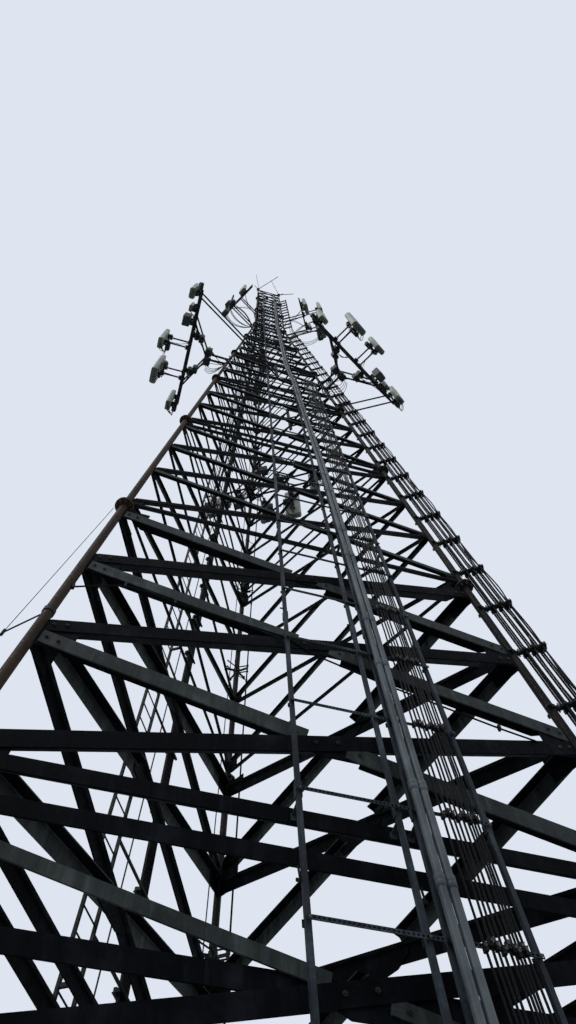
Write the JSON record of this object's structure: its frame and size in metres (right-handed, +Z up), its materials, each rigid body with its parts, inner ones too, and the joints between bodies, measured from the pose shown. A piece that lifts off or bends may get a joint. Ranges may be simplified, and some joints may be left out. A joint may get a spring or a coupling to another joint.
{
  "type": "cell tower, 1:2 scale model",
  "caption": "Three-legged bolted lattice tower with leaning pipe legs, crossed angle braces, cable and climbing ladders, sector frames with panel antennas, and booms on top; 1:2 model.",
  "frame": {"origin": "centre of the underside of the back leg's base plate", "axes": "+Z up; -Y towards the side with the wide cable ladder; +X to the right seen from that side. The tower's axis is 2.099 m from the origin along -Y"},
  "size_m": [4.4601, 4.2409, 31.4829],
  "materials": {
    "leg_steel": "weathered galvanised pipe, rust tinted in places, rough",
    "brace_steel": "weathered galvanised angle, dull dark grey green",
    "fitting_steel": "galvanised, dull",
    "pale_conduit": "pale grey, matt",
    "black_jacket": "black cable jacket, satin",
    "antenna_shell": "pale grey beige shell, satin",
    "radio_grey": "dark grey cast case, matt",
    "lamp_red": "red lens, gloss",
    "wire_rope": "thin wire rope, dull"
  },
  "bodies": {
    "root": {"base_plates": "leg_steel", "leg_section_1": "leg_steel", "leg_section_2": "leg_steel", "leg_section_3": "leg_steel", "leg_section_4": "leg_steel", "leg_section_5": "leg_steel", "leg_section_6": "leg_steel", "leg_section_7": "leg_steel", "leg_section_8": "leg_steel", "leg_section_9": "leg_steel", "leg_section_10": "leg_steel", "front_bracing_lower": "brace_steel", "front_bracing_middle": "brace_steel", "front_bracing_top": "brace_steel", "left_bracing_lower": "brace_steel", "left_bracing_middle": "brace_steel", "left_bracing_top": "brace_steel", "right_bracing_lower": "brace_steel", "right_bracing_middle": "brace_steel", "right_bracing_top": "brace_steel", "front_cable_ladder": "fitting_steel", "front_conduits": "pale_conduit", "front_coax_cables": "black_jacket", "right_leg_cable_brackets": "fitting_steel", "right_leg_coax_cables": "black_jacket", "left_climbing_ladder": "fitting_steel", "left_coax_cables": "black_jacket", "back_leg_safety_cable": "wire_rope", "lower_frame_left": "fitting_steel", "lower_frame_right": "fitting_steel", "lower_frame_back": "fitting_steel", "lower_antennas_left": "antenna_shell", "lower_antennas_right": "antenna_shell", "lower_antennas_back": "antenna_shell", "lower_radio_units": "radio_grey", "middle_frames": "fitting_steel", "middle_antennas": "antenna_shell", "upper_frames": "fitting_steel", "upper_antennas": "antenna_shell", "top_booms": "fitting_steel", "lightning_rod": "fitting_steel", "beacon_lamps": "lamp_red"}
  },
  "joints": []
}
